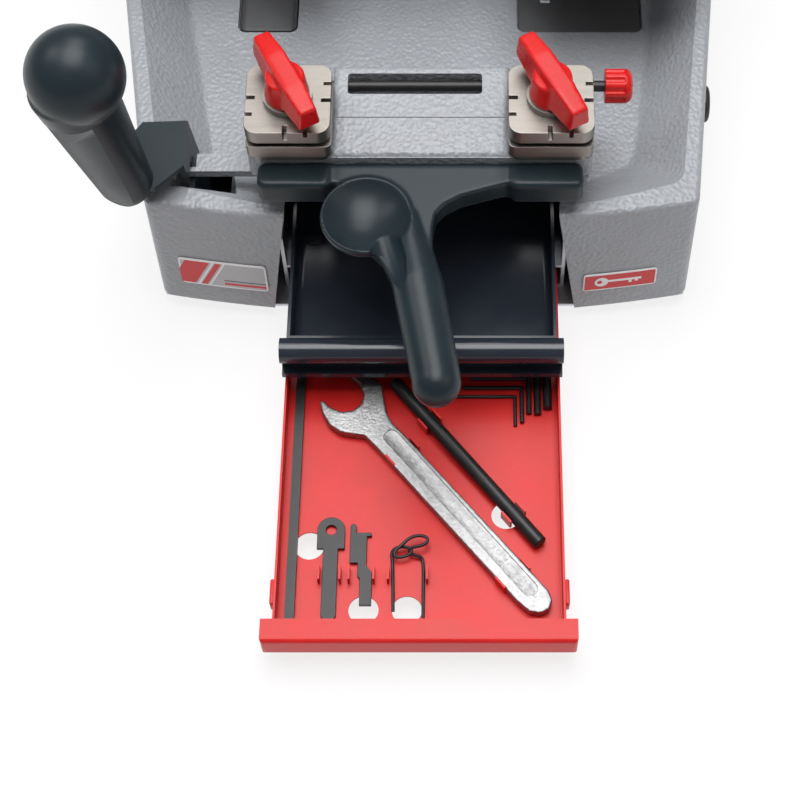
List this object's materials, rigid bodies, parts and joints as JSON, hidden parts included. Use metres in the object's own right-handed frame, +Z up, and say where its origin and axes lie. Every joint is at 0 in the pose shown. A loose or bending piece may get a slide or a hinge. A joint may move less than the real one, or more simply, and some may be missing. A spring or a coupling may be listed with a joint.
{
  "type": "key duplicating machine",
  "caption": "Bench key duplicating machine: cast tub with tilting two-clamp carriage, side lever, cutter head under a rear hood, chip tray and red tool drawer.",
  "frame": {"origin": "on the bench under the middle of the whole machine, with the drawer and tray pulled out as in the picture", "axes": "+X to the operator's right, +Y to the back, +Z up"},
  "size_m": [0.3862, 0.548, 0.229],
  "materials": {
    "grey_paint": "hammered grey paint",
    "dark_grip": "satin dark grey moulding",
    "black_steel": "blackened steel",
    "tray_plastic": "glossy blue-black moulding",
    "red_sheet": "red powder coat",
    "red_plastic": "red moulding",
    "nickel_jaw": "satin nickel",
    "bright_steel": "ground steel",
    "zinc_sheet": "zinc-plated sheet",
    "black_rubber": "matt rubber",
    "motor_black": "black enamel",
    "pulley_alloy": "turned",
    "black_plastic": "black moulding",
    "switch_red": "red moulding",
    "plate_film": "printed film"
  },
  "bodies": {
    "base": {"base_housing": "grey_paint", "base_plate": "zinc_sheet", "cutter_guard": "black_steel", "drive_belt": "black_rubber", "front_plate_left": "plate_film", "front_plate_right": "plate_film", "motor": "motor_black", "motor_cradle": "motor_black", "pivot_bracket": "black_steel", "power_inlet": "black_plastic", "rear_hood": "grey_paint", "rubber_feet": "black_rubber", "runner_left": "zinc_sheet", "runner_right": "zinc_sheet", "shaft_posts": "bright_steel", "side_lever_pin": "bright_steel", "side_plug": "black_plastic", "slide_shaft": "bright_steel", "spindle_bearings": "bright_steel", "spindle_housing": "grey_paint", "switch_frame": "black_plastic", "tracer_blade": "bright_steel", "tracer_holder": "grey_paint", "tracer_ring": "bright_steel"},
    "tool_drawer": {"tool_drawer": "red_sheet", "open_end_wrench": "bright_steel", "tommy_bar": "black_steel", "side_bar": "black_steel", "key_gauge": "black_steel", "stop_gauge": "black_steel", "wire_clip": "black_steel", "hex_keys": "black_steel"},
    "chip_tray": {"chip_tray": "tray_plastic"},
    "slide": {"slide_sleeve": "bright_steel", "slide_link": "grey_paint"},
    "carriage": {"carriage": "grey_paint", "carriage_lever": "dark_grip", "clamp_seats": "nickel_jaw", "clamp_studs": "bright_steel", "clamp_springs": "bright_steel", "lower_jaw_left": "nickel_jaw", "lower_jaw_right": "nickel_jaw"},
    "jaw_left": {"upper_jaw_left": "nickel_jaw", "clamp_washer_left": "nickel_jaw"},
    "jaw_right": {"upper_jaw_right": "nickel_jaw", "clamp_washer_right": "nickel_jaw"},
    "handle_left": {"clamp_handle_left": "red_plastic"},
    "handle_right": {"clamp_handle_right": "red_plastic"},
    "gauge": {"gauge_rod": "black_steel", "gauge_knob": "red_plastic", "gauge_fingers": "black_steel"},
    "side_lever": {"side_lever_strap": "black_steel", "side_lever_grip": "dark_grip"},
    "spindle": {"cutter_spindle": "bright_steel", "cutter_wheel": "bright_steel", "cutter_nut": "bright_steel", "spindle_pulley": "pulley_alloy"},
    "rotor": {"motor_shaft": "bright_steel", "motor_pulley": "pulley_alloy"},
    "rocker": {"switch_rocker": "switch_red"}
  },
  "joints": [
    {"name": "drawer_slide", "type": "slide", "parent": "base", "child": "tool_drawer", "axis": [0, -1, 0], "range_m": [-0.2025, 0.012]},
    {"name": "tray_slide", "type": "slide", "parent": "base", "child": "chip_tray", "axis": [0, -1, 0], "range_m": [-0.049, 0.06]},
    {"name": "lever_swing", "type": "hinge", "parent": "base", "child": "side_lever", "pos_m": [-0.114, -0.016, 0.024], "axis": [0, 1, 0], "range_deg": [-5, 20]},
    {"name": "carriage_slide", "type": "slide", "parent": "base", "child": "slide", "axis": [1, 0, 0], "range_m": [-0.006, 0.0235]},
    {"name": "carriage_tilt", "type": "hinge", "parent": "slide", "child": "carriage", "pos_m": [0.008, 0.008, 0.083], "axis": [-1, 0, 0], "range_deg": [0, 40]},
    {"name": "handle_turn_left", "type": "hinge", "parent": "jaw_left", "child": "handle_left", "pos_m": [-0.061, -0.018, 0.16], "axis": [0, 0, -1], "range_deg": [-60, 120]},
    {"name": "handle_turn_right", "type": "hinge", "parent": "jaw_right", "child": "handle_right", "pos_m": [0.077, -0.018, 0.16], "axis": [0, 0, -1], "range_deg": [-60, 120]},
    {"name": "jaw_close_left", "type": "slide", "parent": "carriage", "child": "jaw_left", "axis": [0, 0, -1], "range_m": [-0.00074, 0.00149]},
    {"name": "jaw_close_right", "type": "slide", "parent": "carriage", "child": "jaw_right", "axis": [0, 0, -1], "range_m": [-0.00074, 0.00149]},
    {"name": "gauge_turn", "type": "hinge", "parent": "carriage", "child": "gauge", "pos_m": [0.008, 0.014, 0.12], "axis": [-1, 0, 0], "range_deg": [0, 90]},
    {"name": "spindle_spin", "type": "hinge", "parent": "base", "child": "spindle", "pos_m": [0.108, 0.104, 0.13], "axis": [1, 0, 0], "continuous": true},
    {"name": "motor_spin", "type": "hinge", "parent": "base", "child": "rotor", "pos_m": [0.108, 0.2, 0.126], "axis": [1, 0, 0], "continuous": true},
    {"name": "rocker_press", "type": "hinge", "parent": "base", "child": "rocker", "pos_m": [0.17883, 0.198, 0.149], "axis": [0, 1, 0], "range_deg": [-6, 6]}
  ],
  "couplings": [
    {"joint": "carriage_slide", "follows": "lever_swing", "m_per_rad": 0.0645},
    {"joint": "handle_turn_left", "follows": "jaw_close_left", "rad_per_m": 1396.6},
    {"joint": "handle_turn_right", "follows": "jaw_close_right", "rad_per_m": 1396.6},
    {"joint": "motor_spin", "follows": "spindle_spin", "ratio": 0.8202}
  ]
}
